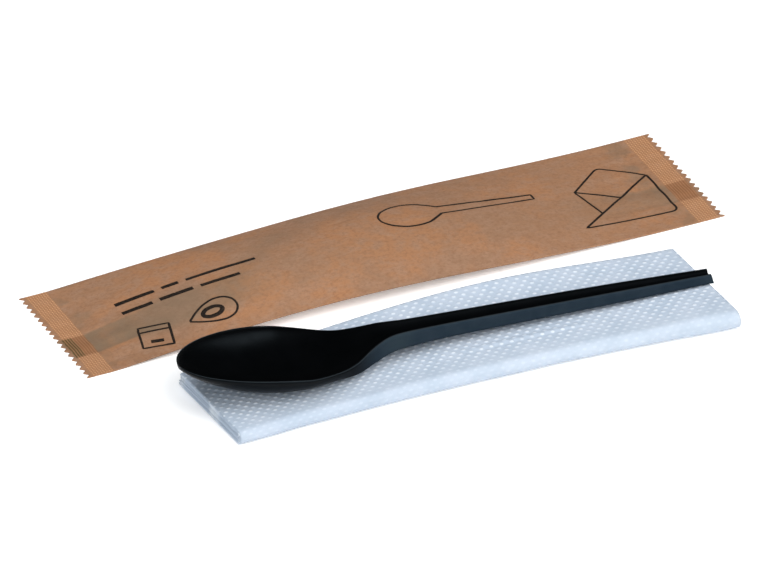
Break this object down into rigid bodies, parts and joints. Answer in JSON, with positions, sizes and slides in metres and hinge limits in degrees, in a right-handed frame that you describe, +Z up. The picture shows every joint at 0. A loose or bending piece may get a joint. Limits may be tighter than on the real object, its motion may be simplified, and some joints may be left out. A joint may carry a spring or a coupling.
{
  "type": "take-away cutlery pack",
  "caption": "Sealed kraft-paper cutlery sachet with its folded tissue napkin and moulded black spoon laid out in front.",
  "frame": {"origin": "centre of the laid-out pack's plan outline, on the table", "axes": "+X along the sachet from its left seal to its right one, +Y from the napkin towards the sachet, +Z up"},
  "size_m": [0.215, 0.1128, 0.018],
  "materials": {
    "kraft_paper": "matte, mottled",
    "tissue": "matte, embossed",
    "black_plastic": "satin",
    "print_ink": "matte ink"
  },
  "bodies": {
    "root": {"kraft_sachet": "kraft_paper", "napkin": "tissue", "spoon": "black_plastic"}
  },
  "joints": []
}
